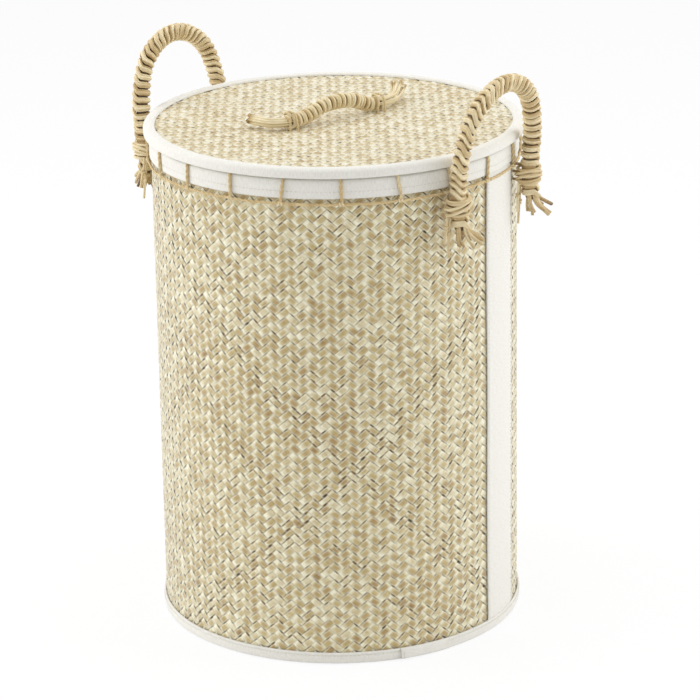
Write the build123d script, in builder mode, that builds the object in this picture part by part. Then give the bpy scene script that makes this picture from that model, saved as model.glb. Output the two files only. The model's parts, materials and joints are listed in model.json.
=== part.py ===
from build123d import *
import os
from math import cos, pi, radians, sin, sqrt, tan

# Woven laundry basket: a tall seagrass drum with canvas bindings, a laced rim, a flat lift-off lid
# and three rope handles. Millimetres, +Z up, origin on the floor at the centre of the base.

# Woven mat and canvas
drum_radius = 188.0  # outside of the wall mat
wall_top = 506.0  # top edge of the wall mat
mat_thickness = 4.5
canvas_thickness = 1.2  # binding tape, sewn flat
sewn_clearance = 0.1  # between layers that are sewn together
moving_clearance = 0.3  # between pieces that move past each other

# Base binding
base_drop = 12.5  # how far the binding climbs the wall
base_turn_under = 15.0  # how far it reaches in under the base
lap_start_angle = -36.5  # where the loose end of the tape is sewn over its beginning
lap_length = 58.0

# Rim hoop, rim binding and rim lacing
hoop_height = 4.5  # cane hoop on the wall's top edge, as thick as the mat
rim_band_drop = 20.0  # binding below its own top, outside and inside
lace_size = 3.0  # twine of the rim lacing
lace_run_drop = 3.0  # gap between the binding's lower edge and the lacing's run
lace_tail_drop = 4.0  # how far each stitch goes on below the binding inside
stitch_count = 21
stitch_phase = -1.3  # degrees from +X to the first stitch

# Side seam of the wall
seam_tape_width = 56.0
seam_backing_width = 40.0
seam_angle = 7.0

# Lid
lid_overhang = 6.5  # past the wall's top edge
lid_mat_thickness = 6.0  # a doubled mat, as thick as the hoop in its edge
lid_hoop_width = 5.0
lid_tape_width = 12.0  # visible ring of binding on the lid

# Side handles
rope_radius = 9.2  # outside of the wound rope
rope_core_radius = 3.8  # bare rope at the eyes
hinge_drop = 11.7  # hinge below the top of the rim binding
handle_spacing = 130.0  # between the two legs of one handle
handle_stand_off = 17.0  # rope axis out from the wall at the hinge
leg_length = 22.0  # straight leg below the arch
handle_lean = 7.5  # degrees outward at rest
eye_radius = 8.0  # turned end of the rope
eye_length = 15.0
bare_rope = 3.0  # between the eye and the wound part
hinge_cord_size = 2.6  # cord through the eyes
tail_length = 24.0  # below the lashing
tail_radius = 7.6
tail_flare = 3.0
lashing_thickness = 4.0  # cord turns that lash each foot, drawn as one strap
lashing_height = 18.0

# Lid handle
lid_rope_radius = 6.4
lid_core_radius = 4.2  # bare rope of the two tails
lid_wrap_reach = 60.0  # wound part, from the middle to each side
lid_tie_size = 2.6
lid_tie_inset = 4.0  # middle of each tie, in from the end of the wound part
lid_handle_angle = 72.4
lid_handle_rise = 11.0  # middle of the rope above its ends

# Ropes and their turned ends are drawn with a few flat sides
rope_sides = 6
eye_sides = 8
tail_sides = 8

# Levels and radii that follow from the sizes above
rim_top = wall_top + hoop_height + canvas_thickness
hinge_height = rim_top - hinge_drop
rim_band_low = rim_top - rim_band_drop
lace_run_top = rim_band_low - lace_run_drop
lid_bottom = rim_top + sewn_clearance + lace_size + moving_clearance
lid_mat_bottom = lid_bottom + canvas_thickness
lid_mat_top = lid_mat_bottom + lid_mat_thickness
lid_top = lid_mat_top + canvas_thickness
lid_radius = drum_radius + lid_overhang
inner_radius = drum_radius - mat_thickness
base_mat_bottom = canvas_thickness
base_mat_top = base_mat_bottom + mat_thickness
eye_bore = (hinge_cord_size * sqrt(0.5) + moving_clearance) / cos(pi / eye_sides)
sewn_tape = sewn_clearance + canvas_thickness
octagon = tan(pi / 8)  # half a side of an octagon, for each unit of its inner radius


def upright_plane(angle):
    """Plane through the axis of the drum whose x axis points out at an angle, with y up."""
    a = radians(angle)
    return Plane(origin=(0, 0, 0), x_dir=(cos(a), sin(a), 0), z_dir=(sin(a), -cos(a), 0))


os.makedirs("parts", exist_ok=True)

# Wall: one woven mat rolled into a drum
with BuildPart() as wall_mat:
    with BuildSketch(Plane.XZ):
        with BuildLine():
            Polyline(
                (inner_radius, base_mat_bottom),
                (drum_radius, base_mat_bottom),
                (drum_radius, wall_top),
                (inner_radius, wall_top),
                close=True,
            )
        make_face()
    revolve(axis=Axis.Z)
wall_mat.part.label = "wall_mat"
export_step(wall_mat.part, "parts/wall_mat.step")

# Base: a woven disc inside the foot of the wall
with BuildPart() as base_mat:
    with BuildSketch(Plane.XZ):
        with BuildLine():
            Polyline(
                (0, base_mat_bottom),
                (inner_radius - sewn_clearance, base_mat_bottom),
                (inner_radius - sewn_clearance, base_mat_top),
                (0, base_mat_top),
                close=True,
            )
        make_face()
    revolve(axis=Axis.Z)
base_mat.part.label = "base_mat"
export_step(base_mat.part, "parts/base_mat.step")

# Base binding: canvas tape folded round the foot, its loose end lapped over its beginning
with BuildPart() as base_binding:
    with BuildSketch(Plane.XZ):
        with BuildLine():
            Polyline(
                (drum_radius - base_turn_under, 0),
                (drum_radius + sewn_tape, 0),
                (drum_radius + sewn_tape, base_drop),
                (drum_radius + sewn_clearance, base_drop),
                (drum_radius + sewn_clearance, canvas_thickness),
                (drum_radius - base_turn_under, canvas_thickness),
                close=True,
            )
        make_face()
    revolve(axis=Axis.Z)
    with BuildSketch(upright_plane(lap_start_angle)):
        with BuildLine():
            Polyline(
                (drum_radius + sewn_tape / 2, 0),
                (drum_radius + sewn_tape + canvas_thickness, 0),
                (drum_radius + sewn_tape + canvas_thickness, base_drop),
                (drum_radius + sewn_tape / 2, base_drop),
                close=True,
            )
        make_face()
    revolve(axis=Axis.Z, revolution_arc=lap_length / drum_radius * 180 / pi)
base_binding.part.label = "base_binding"
export_step(base_binding.part, "parts/base_binding.step")

# Rim hoop: a bent cane that keeps the mouth round
with BuildPart() as rim_hoop:
    with BuildSketch(Plane.XZ):
        with BuildLine():
            Polyline(
                (inner_radius, wall_top),
                (drum_radius, wall_top),
                (drum_radius, wall_top + hoop_height),
                (inner_radius, wall_top + hoop_height),
                close=True,
            )
        make_face()
    revolve(axis=Axis.Z)
rim_hoop.part.label = "rim_hoop"
export_step(rim_hoop.part, "parts/rim_hoop.step")

# Rim binding: canvas folded over the hoop and the wall's top edge
hoop_top = wall_top + hoop_height
with BuildPart() as rim_binding:
    with BuildSketch(Plane.XZ):
        with BuildLine():
            Polyline(
                (drum_radius + sewn_clearance, rim_band_low),
                (drum_radius + sewn_tape, rim_band_low),
                (drum_radius + sewn_tape, rim_top),
                (inner_radius - sewn_tape, rim_top),
                (inner_radius - sewn_tape, rim_band_low),
                (inner_radius - sewn_clearance, rim_band_low),
                (inner_radius - sewn_clearance, hoop_top),
                (drum_radius + sewn_clearance, hoop_top),
                close=True,
            )
        make_face()
    revolve(axis=Axis.Z)
rim_binding.part.label = "rim_binding"
export_step(rim_binding.part, "parts/rim_binding.step")

# Rim lacing: twine laid round the wall under the binding
lace_run_low = lace_run_top - lace_size
with BuildPart() as rim_lacing_run:
    with BuildSketch(Plane.XZ):
        with BuildLine():
            Polyline(
                (drum_radius + sewn_clearance, lace_run_low),
                (drum_radius + sewn_clearance + lace_size, lace_run_low),
                (drum_radius + sewn_clearance + lace_size, lace_run_top),
                (drum_radius + sewn_clearance, lace_run_top),
                close=True,
            )
        make_face()
    revolve(axis=Axis.Z)
rim_lacing_run.part.label = "rim_lacing_run"
export_step(rim_lacing_run.part, "parts/rim_lacing_run.step")

# Lacing stitches: the same twine carried over the rim at even steps
lace_over = rim_top + sewn_clearance
stitch_out = sewn_tape + sewn_clearance
stitch_low_outside = lace_run_top + sewn_clearance
stitch_low_inside = rim_band_low - lace_tail_drop
with BuildPart() as rim_lacing_stitches:
    for stitch in range(stitch_count):
        with BuildSketch(upright_plane(stitch_phase + stitch * 360 / stitch_count)):
            with BuildLine():
                Polyline(
                    (drum_radius + stitch_out, stitch_low_outside),
                    (drum_radius + stitch_out + lace_size, stitch_low_outside),
                    (drum_radius + stitch_out + lace_size, lace_over),
                    (drum_radius + stitch_out, lace_over + lace_size),
                    (inner_radius - stitch_out, lace_over + lace_size),
                    (inner_radius - stitch_out - lace_size, lace_over),
                    (inner_radius - stitch_out - lace_size, stitch_low_inside),
                    (inner_radius - stitch_out, stitch_low_inside),
                    (inner_radius - stitch_out, lace_over),
                    (drum_radius + stitch_out, lace_over),
                    close=True,
                )
            make_face()
    extrude(amount=lace_size / 2, both=True)
rim_lacing_stitches.part.label = "rim_lacing_stitches"
export_step(rim_lacing_stitches.part, "parts/rim_lacing_stitches.step")

# Seam tape: canvas over the joint of the wall mat, with a narrower backing tape inside
tape_low = base_drop + sewn_clearance
tape_high = lace_run_low - sewn_clearance
tape_angle = seam_tape_width / drum_radius * 180 / pi
with BuildPart() as wall_seam_tape:
    with BuildSketch(upright_plane(seam_angle - tape_angle / 2)):
        with BuildLine():
            Polyline(
                (drum_radius + sewn_clearance, tape_low),
                (drum_radius + sewn_tape, tape_low),
                (drum_radius + sewn_tape, tape_high),
                (drum_radius + sewn_clearance, tape_high),
                close=True,
            )
        make_face()
    revolve(axis=Axis.Z, revolution_arc=tape_angle)
wall_seam_tape.part.label = "wall_seam_tape"
export_step(wall_seam_tape.part, "parts/wall_seam_tape.step")

backing_low = base_mat_top + sewn_clearance
backing_high = stitch_low_inside - sewn_clearance
backing_angle = seam_backing_width / drum_radius * 180 / pi
with BuildPart() as wall_seam_backing:
    with BuildSketch(upright_plane(seam_angle - backing_angle / 2)):
        with BuildLine():
            Polyline(
                (inner_radius - sewn_clearance, backing_low),
                (inner_radius - sewn_tape, backing_low),
                (inner_radius - sewn_tape, backing_high),
                (inner_radius - sewn_clearance, backing_high),
                close=True,
            )
        make_face()
    revolve(axis=Axis.Z, revolution_arc=backing_angle)
wall_seam_backing.part.label = "wall_seam_backing"
export_step(wall_seam_backing.part, "parts/wall_seam_backing.step")

# Lid hoop: a bent cane in the lid's edge
lid_hoop_out = lid_radius - canvas_thickness - sewn_clearance
lid_hoop_in = lid_hoop_out - lid_hoop_width
with BuildPart() as lid_hoop:
    with BuildSketch(Plane.XZ):
        with BuildLine():
            Polyline(
                (lid_hoop_in, lid_mat_bottom),
                (lid_hoop_out, lid_mat_bottom),
                (lid_hoop_out, lid_mat_top),
                (lid_hoop_in, lid_mat_top),
                close=True,
            )
        make_face()
    revolve(axis=Axis.Z)
lid_hoop.part.label = "lid_hoop"
export_step(lid_hoop.part, "parts/lid_hoop.step")

# Lid binding: canvas round the hoop, sewn down on both faces of the lid mat
tape_in = lid_radius - lid_tape_width
with BuildPart() as lid_binding:
    with BuildSketch(Plane.XZ):
        with BuildLine():
            Polyline(
                (tape_in, lid_bottom),
                (lid_radius, lid_bottom),
                (lid_radius, lid_top),
                (tape_in, lid_top),
                (tape_in, lid_mat_top),
                (lid_hoop_out + sewn_clearance, lid_mat_top),
                (lid_hoop_out + sewn_clearance, lid_mat_bottom),
                (tape_in, lid_mat_bottom),
                close=True,
            )
        make_face()
    revolve(axis=Axis.Z)
lid_binding.part.label = "lid_binding"
export_step(lid_binding.part, "parts/lid_binding.step")

# Lid handle: a rope laid across the lid and raised in the middle. Its core shows as two loose tails
lid_rope_level = lid_mat_top + sewn_clearance + lid_rope_radius
lid_rope_high = lid_rope_level + lid_handle_rise
lid_rope_slope = lid_rope_level + 0.45 * lid_handle_rise
lid_middle = Plane.XY.rotated((0, 0, lid_handle_angle))
lid_rope_shares = [
    (-1.40, 0.63, lid_rope_level),
    (-1.33, 0.28, lid_rope_level),
    (-1.17, 0.0, lid_rope_level),
    (-0.70, 0.0, lid_rope_level),
    (-0.45, 0.0, lid_rope_slope),
    (-0.18, 0.0, lid_rope_high),
    (0.33, 0.0, lid_rope_high),
    (0.58, 0.0, lid_rope_slope),
    (0.82, 0.0, lid_rope_level),
    (1.23, 0.0, lid_rope_level),
    (1.52, 0.20, lid_rope_level),
    (1.80, 0.52, lid_rope_level),
]  # along and across in shares of the wound part's reach, then the height
lid_rope_route = [(lid_wrap_reach * x, lid_wrap_reach * y, z) for x, y, z in lid_rope_shares]
lid_rope_runs = [(Vector(b) - Vector(a)).length for a, b in zip(lid_rope_route, lid_rope_route[1:])]
lid_rope_bends = []
for corner in range(1, len(lid_rope_route) - 1):
    arriving = Vector(lid_rope_route[corner]) - Vector(lid_rope_route[corner - 1])
    leaving = Vector(lid_rope_route[corner + 1]) - Vector(lid_rope_route[corner])
    half_turn = radians(arriving.get_angle(leaving)) / 2
    shorter_run = min(lid_rope_runs[corner - 1], lid_rope_runs[corner])
    lid_rope_bends.append(0.45 * shorter_run / tan(half_turn))
print("lid rope bend radii", [round(bend, 1) for bend in lid_rope_bends])
with BuildLine(lid_middle) as lid_rope:
    FilletPolyline(*lid_rope_route, radius=lid_rope_bends)
lid_rope_line = lid_rope.wire()
wound_first, wound_last, left_end, right_end = (
    lid_rope_line.param_at_point(lid_middle.from_local_coords((along, 0, lid_rope_level)))
    for along in (
        -lid_wrap_reach,
        lid_wrap_reach,
        -lid_wrap_reach - sewn_clearance,
        lid_wrap_reach + sewn_clearance,
    )
)
with BuildPart() as lid_handle_core:
    for first, last in ((0, left_end), (right_end, 1)):
        with BuildLine() as tail:
            add(lid_rope_line.trim(first, last))
        with BuildSketch(Plane(tail.line @ 0, x_dir=(0, 0, 1), z_dir=tail.line % 0)):
            RegularPolygon(lid_core_radius, rope_sides)
        sweep()
lid_handle_core.part.label = "lid_handle_core"
export_step(lid_handle_core.part, "parts/lid_handle_core.step")

# Lid handle wrap: the wound part of the rope, with the core inside it
with BuildPart() as lid_handle_wrap:
    with BuildLine() as lid_wound:
        add(lid_rope_line.trim(wound_first, wound_last))
    with BuildSketch(Plane(lid_wound.line @ 0, x_dir=(0, 0, 1), z_dir=lid_wound.line % 0)):
        RegularPolygon(lid_rope_radius, rope_sides)
    sweep()
lid_handle_wrap.part.label = "lid_handle_wrap"
export_step(lid_handle_wrap.part, "parts/lid_handle_wrap.step")

# Lid handle ties: cord loops round the rope and down through the lid mat
tie_inside = lid_rope_radius + sewn_clearance
tie_outside = tie_inside + lid_tie_size
tie_low = lid_mat_bottom - sewn_clearance
tie_planes = [
    Plane(lid_middle.from_local_coords((along, 0, 0)), x_dir=lid_middle.y_dir, z_dir=lid_middle.x_dir)
    for along in (lid_tie_inset - lid_wrap_reach, lid_wrap_reach - lid_tie_inset)
]
with BuildPart() as lid_handle_ties:
    for tie_plane in tie_planes:
        with BuildSketch(tie_plane):
            for reach, low, mode in (
                (tie_outside, tie_low - lid_tie_size, Mode.ADD),
                (tie_inside, tie_low, Mode.SUBTRACT),
            ):
                with BuildLine():
                    Polyline(
                        (-reach, low),
                        (-reach, lid_rope_level + reach * octagon),
                        (-reach * octagon, lid_rope_level + reach),
                        (reach * octagon, lid_rope_level + reach),
                        (reach, lid_rope_level + reach * octagon),
                        (reach, low),
                        close=True,
                    )
                make_face(mode=mode)
    extrude(amount=lid_tie_size / 2, both=True)
lid_handle_ties.part.label = "lid_handle_ties"
export_step(lid_handle_ties.part, "parts/lid_handle_ties.step")

# Lid: a woven disc, pierced where the two ties pass through
tie_hole = lid_tie_size + 2 * sewn_clearance
tie_leg = (tie_inside + tie_outside) / 2
tie_legs = [plane.from_local_coords((leg, 0, 0)) for plane in tie_planes for leg in (-tie_leg, tie_leg)]
with BuildPart() as lid_mat:
    with BuildSketch(Plane.XY.offset(lid_mat_bottom)):
        Circle(lid_hoop_in - sewn_clearance)
        with Locations(*tie_legs):
            Rectangle(tie_hole, tie_hole, rotation=lid_handle_angle, mode=Mode.SUBTRACT)
    extrude(amount=lid_mat_thickness)
lid_mat.part.label = "lid_mat"
export_step(lid_mat.part, "parts/lid_mat.step")

# Side handles: each is a rope arch that swings on a cord through its two turned ends. The core shows at the
# ends, and the wound part covers the rest of it
leg_out = handle_spacing / 2
hinge_reach = sqrt((drum_radius + handle_stand_off) ** 2 - leg_out**2)
lean = radians(handle_lean)
wrap_start = eye_radius + bare_rope
for side, out in (("right", 1), ("left", -1)):
    arch_plane = Plane(
        origin=(out * hinge_reach, 0, hinge_height),
        x_dir=(0, out, 0),
        z_dir=(out * cos(lean), 0, -sin(lean)),
    )
    eyes = [
        Plane((out * hinge_reach, foot, hinge_height), x_dir=(1, 0, 0), z_dir=(0, 1, 0))
        for foot in (-leg_out, leg_out)
    ]
    core_feet, wound_feet, arch_feet = (
        [
            Plane(
                arch_plane.from_local_coords((foot, height, 0)),
                x_dir=arch_plane.z_dir,
                z_dir=arch_plane.y_dir,
            )
            for foot in (-leg_out, leg_out)
        ]
        for height in (0, wrap_start, leg_length)
    )
    with BuildPart() as handle_core:
        with BuildSketch(*core_feet):
            RegularPolygon(rope_core_radius, rope_sides)
        extrude(amount=wrap_start - sewn_clearance)
        with BuildSketch(*eyes):
            RegularPolygon(eye_radius, eye_sides)
        extrude(amount=eye_length / 2, both=True)
        with BuildSketch(*eyes):
            RegularPolygon(eye_bore, eye_sides)
        extrude(amount=eye_length, both=True, mode=Mode.SUBTRACT)
    handle_core.part.label = side + "_handle_core"
    export_step(handle_core.part, "parts/" + side + "_handle_core.step")

    with BuildPart() as handle_wrap:
        with BuildSketch(*wound_feet):
            RegularPolygon(rope_radius, rope_sides)
        extrude(amount=leg_length - wrap_start)
        with BuildSketch(arch_feet[0]):
            RegularPolygon(rope_radius, rope_sides)
        arch_middle = arch_plane.from_local_coords((0, leg_length, 0))
        revolve(axis=Axis(arch_middle, -arch_plane.z_dir), revolution_arc=180)
    handle_wrap.part.label = side + "_handle_wrap"
    export_step(handle_wrap.part, "parts/" + side + "_handle_wrap.step")


def reach_to_face(face_radius, edge, other_edge):
    """How far out a cord with these two edges ends when it butts on a round face."""
    return sqrt((face_radius + sewn_clearance) ** 2 - min(abs(edge), abs(other_edge)) ** 2)


# Hinge cords: one through each eye, its two ends sewn to the rim binding
arm = eye_length / 2 + moving_clearance
arm_out = arm + hinge_cord_size
feet = [(out, foot) for out in (1, -1) for foot in (-leg_out, leg_out)]
with BuildPart() as handle_hinge_cords:
    for out, foot in feet:
        near_end = reach_to_face(drum_radius + sewn_tape, foot - arm_out, foot - arm)
        far_end = reach_to_face(drum_radius + sewn_tape, foot + arm, foot + arm_out)
        with BuildSketch(Plane.XY.offset(hinge_height)):
            with BuildLine():
                Polyline(
                    (out * near_end, foot - arm_out),
                    (out * (hinge_reach + hinge_cord_size / 2), foot - arm_out),
                    (out * (hinge_reach + hinge_cord_size / 2), foot + arm_out),
                    (out * far_end, foot + arm_out),
                    (out * far_end, foot + arm),
                    (out * (hinge_reach - hinge_cord_size / 2), foot + arm),
                    (out * (hinge_reach - hinge_cord_size / 2), foot - arm),
                    (out * near_end, foot - arm),
                    close=True,
                )
            make_face()
    extrude(amount=hinge_cord_size / 2, both=True)
handle_hinge_cords.part.label = "handle_hinge_cords"
export_step(handle_hinge_cords.part, "parts/handle_hinge_cords.step")

# Rope tails: the loose ends of each rope, hanging below the hinge and opening out
tail_top = hinge_height - eye_radius - moving_clearance
lashing_top = lace_run_low - sewn_clearance
lashing_low = lashing_top - lashing_height
with BuildPart() as handle_tails:
    for out, foot in feet:
        for level, radius in (
            (tail_top, tail_radius),
            (lashing_low, tail_radius),
            (lashing_low - tail_length, tail_radius + tail_flare),
        ):
            with BuildSketch(Plane((out * hinge_reach, foot, level))):
                RegularPolygon(radius, tail_sides)
        loft(ruled=True)
handle_tails.part.label = "handle_tails"
export_step(handle_tails.part, "parts/handle_tails.step")

# Lashings: at each foot the cord turns come from the wall, go round the tail and back, as one strap
strap_in = tail_radius + sewn_clearance
strap_out = strap_in + lashing_thickness
with BuildPart() as handle_lashings:
    for out, foot in feet:
        near_end = reach_to_face(drum_radius, foot - strap_out, foot - strap_in)
        far_end = reach_to_face(drum_radius, foot + strap_in, foot + strap_out)
        with BuildSketch(Plane.XY.offset(lashing_low)):
            with BuildLine():
                Polyline(
                    (out * near_end, foot - strap_out),
                    (out * (hinge_reach + strap_out * octagon), foot - strap_out),
                    (out * (hinge_reach + strap_out), foot - strap_out * octagon),
                    (out * (hinge_reach + strap_out), foot + strap_out * octagon),
                    (out * (hinge_reach + strap_out * octagon), foot + strap_out),
                    (out * far_end, foot + strap_out),
                    (out * far_end, foot + strap_in),
                    (out * (hinge_reach + strap_in * octagon), foot + strap_in),
                    (out * (hinge_reach + strap_in), foot + strap_in * octagon),
                    (out * (hinge_reach + strap_in), foot - strap_in * octagon),
                    (out * (hinge_reach + strap_in * octagon), foot - strap_in),
                    (out * near_end, foot - strap_in),
                    close=True,
                )
            make_face()
    extrude(amount=lashing_height)
handle_lashings.part.label = "handle_lashings"
export_step(handle_lashings.part, "parts/handle_lashings.step")
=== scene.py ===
# %% [markdown]
# # A woven laundry basket
# The basket is a drum of plaited seagrass with canvas bindings, a laced rim, a loose lid and rope handles.
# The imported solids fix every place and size. Each soft solid could be dressed with a patterned material
# alone, but plaiting, sewing and winding show in the outline too, so every soft piece is built here as
# real strips, cloth and strands, and stands for its solid.

# %% Frame
import json
from math import asin, ceil, cos, floor, pi, radians, sin, sqrt

import bpy
import numpy as np
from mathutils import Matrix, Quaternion, Vector


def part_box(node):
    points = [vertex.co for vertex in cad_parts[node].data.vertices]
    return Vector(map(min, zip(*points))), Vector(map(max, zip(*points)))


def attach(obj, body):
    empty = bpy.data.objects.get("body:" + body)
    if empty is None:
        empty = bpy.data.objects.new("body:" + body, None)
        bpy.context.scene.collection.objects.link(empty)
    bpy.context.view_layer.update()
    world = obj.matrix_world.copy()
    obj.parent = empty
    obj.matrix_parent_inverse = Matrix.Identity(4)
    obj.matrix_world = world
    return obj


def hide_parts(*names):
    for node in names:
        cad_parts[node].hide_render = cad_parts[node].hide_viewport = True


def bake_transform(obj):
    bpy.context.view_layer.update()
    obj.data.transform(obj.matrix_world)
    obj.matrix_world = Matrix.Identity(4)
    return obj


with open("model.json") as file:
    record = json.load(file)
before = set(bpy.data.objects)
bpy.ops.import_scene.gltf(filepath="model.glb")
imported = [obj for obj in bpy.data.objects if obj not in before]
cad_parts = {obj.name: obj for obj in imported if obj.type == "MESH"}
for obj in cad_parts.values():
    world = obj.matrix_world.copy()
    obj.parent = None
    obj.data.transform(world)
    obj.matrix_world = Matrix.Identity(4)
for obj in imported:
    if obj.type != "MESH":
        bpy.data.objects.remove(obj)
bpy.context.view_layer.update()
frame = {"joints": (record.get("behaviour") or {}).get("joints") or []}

# %% [markdown]
# ## Sizes from the frame
# A basket maker would measure the drum, the rim and the lid before cutting any tape. The boxes of the
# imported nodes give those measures, so a change in the solids carries over to the dressing.

# %% Measures
wall_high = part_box("wall_mat")[1]
base_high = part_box("base_binding")[1]
rim_low, rim_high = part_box("rim_binding")
run_low, run_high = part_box("rim_lacing_run")
stitch_low, stitch_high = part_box("rim_lacing_stitches")
tape_low, tape_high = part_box("wall_seam_tape")
backing_low, backing_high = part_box("wall_seam_backing")
lid_low, lid_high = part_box("lid_binding")
lid_mat_low, lid_mat_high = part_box("lid_mat")
base_mat_low, base_mat_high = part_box("base_mat")
swing = {joint["name"]: joint for joint in frame["joints"]}
hinge_reach, _, hinge_height = swing["right_handle_swing"]["pos_m"]

drum_radius = wall_high.x
mat_thickness = 0.0045
tape_thickness = 0.0012
print("drum radius", round(drum_radius, 4), "lid top", round(lid_high.z, 4))

# %% [markdown]
# ## Helpers
# A piece is a mesh with a finish, a body that it rides on and the solids that it stands for. Ropes and
# cords are tubes along a smooth line. The line is read from a NURBS spline, which needs only a few given
# points and has no corners.

# %% Piece
def make_piece(name, shape, material, body, nodes=()):
    """A mesh object from (vertices, quads, uv, tone), riding on one body or on none."""
    vertices, quads, uv, tone = shape
    mesh = bpy.data.meshes.new(name)
    mesh.from_pydata(vertices.tolist(), [], quads.tolist())
    mesh.shade_smooth()
    corner = np.empty(len(mesh.loops), np.int32)
    mesh.loops.foreach_get("vertex_index", corner)
    mesh.uv_layers.new(name="Surface").data.foreach_set("uv", uv[corner].astype(np.float32).ravel())
    mesh.attributes.new("tone", "FLOAT", "POINT").data.foreach_set("value", tone.astype(np.float32))
    mesh.materials.append(material)
    piece = bpy.data.objects.new(name, mesh)
    bpy.context.scene.collection.objects.link(piece)
    if body:
        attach(piece, body)
    if nodes:
        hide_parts(*nodes)
    print(name, len(quads), "quads")
    return piece


def join_shapes(shapes):
    """Several shapes as one."""
    counts = np.cumsum([0] + [len(shape[0]) for shape in shapes])
    return (
        np.concatenate([shape[0] for shape in shapes]),
        np.concatenate([shape[1] + start for shape, start in zip(shapes, counts)]),
        np.concatenate([shape[2] for shape in shapes]),
        np.concatenate([shape[3] for shape in shapes]),
    )


def grid_quads(rows, columns):
    """Quads of a grid of points that is stored row by row."""
    first = (np.arange(rows - 1)[:, None] * columns + np.arange(columns - 1)[None, :]).ravel()
    return np.stack([first, first + 1, first + columns + 1, first + columns], axis=1)


print("a grid of 3 by 4 points has", len(grid_quads(3, 4)), "quads")

# %% Lines and tubes
def round_axis(radius, angle, height):
    """Points at a radius, an angle and a height round the basket's axis."""
    return np.stack(np.broadcast_arrays(radius * np.cos(angle), radius * np.sin(angle), height), axis=-1)


def smooth_line(route):
    """Points along the NURBS line of a given route."""
    curve = bpy.data.curves.new("route", "CURVE")
    curve.dimensions = "3D"
    spline = curve.splines.new("NURBS")
    spline.points.add(len(route) - 1)
    for point, place in zip(spline.points, route):
        point.co = (*place, 1)
    spline.order_u = 3
    spline.use_endpoint_u = True
    holder = bpy.data.objects.new("route", curve)
    line = bpy.data.meshes.new_from_object(holder)
    points = np.array([vertex.co for vertex in line.vertices])
    bpy.data.objects.remove(holder)
    bpy.data.curves.remove(curve)
    bpy.data.meshes.remove(line)
    return points


def along_line(at, run, field):
    """The values of a field at some places along a line."""
    return np.stack([np.interp(at, run, field[:, axis]) for axis in range(3)], axis=1)


def run_of(points):
    """How far along a line each of its points lies."""
    return np.concatenate([[0], np.cumsum(np.linalg.norm(np.diff(points, axis=0), axis=1))])


def spaced(points, count):
    """The same line with an even spacing."""
    run = run_of(points)
    return along_line(np.linspace(0, run[-1], count), run, points)


def cross_axes(points):
    """Two directions across a line at each of its points, carried along without twist."""
    ahead = np.gradient(points, axis=0)
    ahead /= np.linalg.norm(ahead, axis=1)[:, None]
    start = np.eye(3)[np.argmin(np.abs(ahead[0]))]
    side = np.empty_like(points)
    for at, way in enumerate(ahead):
        start = start - way * (start @ way)
        start /= np.linalg.norm(start)
        side[at] = start
    return side, np.cross(ahead, side)


def tube(points, radius, sides=6, tone=0.5):
    """A tube with closed ends along a line. Its radius and tone may change along it."""
    side, over = cross_axes(points)
    radius = np.broadcast_to(radius, len(points))
    line = np.concatenate([points[:1], points, points[-1:]])
    side, over = (np.concatenate([axis[:1], axis, axis[-1:]]) for axis in (side, over))
    radius = np.concatenate([radius[:1] * 0.05, radius, radius[-1:] * 0.05])
    turn = np.linspace(0, 2 * pi, sides + 1)
    spread = side[:, None] * np.cos(turn)[None, :, None] + over[:, None] * np.sin(turn)[None, :, None]
    vertices = line[:, None] + radius[:, None, None] * spread
    along = run_of(line)
    around = 1 - np.abs(1 - turn / pi)
    uv = np.stack(np.broadcast_arrays(along[:, None], around[None, :]), axis=-1).reshape(-1, 2)
    quads = grid_quads(len(line), sides + 1)
    tones = np.broadcast_to(tone, len(points))
    tones = np.concatenate([tones[:1], tones, tones[-1:]])
    return vertices.reshape(-1, 3), quads, uv, np.repeat(tones, sides + 1)


def wind(points, reach, turns, phase=0.0, per_turn=18):
    """A line that winds round another one."""
    count = int(turns * per_turn) + 1
    core = spaced(points, count)
    side, over = cross_axes(core)
    turn = phase + 2 * pi * turns * np.linspace(0, 1, count)
    return core + reach * (np.cos(turn)[:, None] * side + np.sin(turn)[:, None] * over)


def twisted(points, radius, lay, plies=2, sides=5, tone=0.5):
    """A laid cord: a few plies wound round one line, one turn for each lay length."""
    turns = run_of(points)[-1] / lay
    return [
        tube(wind(points, radius * 0.44, turns, 2 * pi * ply / plies, 10), radius * 0.62, sides, tone)
        for ply in range(plies)
    ]


print("a bend of 3 placed points becomes", len(smooth_line([(0, 0, 0), (1, 0, 0), (1, 1, 0)])), "points")

# %% [markdown]
# ## Finishes
# Seagrass, twine and rope are all dried plant fibre: pale, streaked along the fibre and browner in places.
# One node group makes the streaks and each material sets its own scale and colours. Canvas has a group of
# its own for the thread grid. Painted pictures would show the same from afar, but not at every scale.

# %% Node helpers
def feed(tree, socket, value):
    """A socket linked to another node's output, or set to a plain value."""
    if isinstance(value, bpy.types.NodeSocket):
        tree.links.new(value, socket)
    else:
        socket.default_value = value


def put(tree, kind, inputs=(), **settings):
    """A shader node with its settings and its sockets."""
    made = tree.nodes.new("ShaderNode" + kind)
    for setting, value in settings.items():
        setattr(made, setting, value)
    for socket, value in dict(inputs).items():
        feed(tree, made.inputs[socket], value)
    return made


def new_group(name, inputs, outputs):
    """An empty shader node group with float inputs and outputs."""
    group = bpy.data.node_groups.new(name, "ShaderNodeTree")
    for way, sockets in (("INPUT", inputs), ("OUTPUT", outputs)):
        for socket in sockets:
            group.interface.new_socket(name=socket, in_out=way, socket_type="NodeSocketFloat")
    return group, group.nodes.new("NodeGroupInput"), group.nodes.new("NodeGroupOutput")


def reckon(tree, operation, first, second=0.0):
    """The result of one step of arithmetic on two values."""
    return put(tree, "Math", {0: first, 1: second}, operation=operation).outputs[0]


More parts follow.
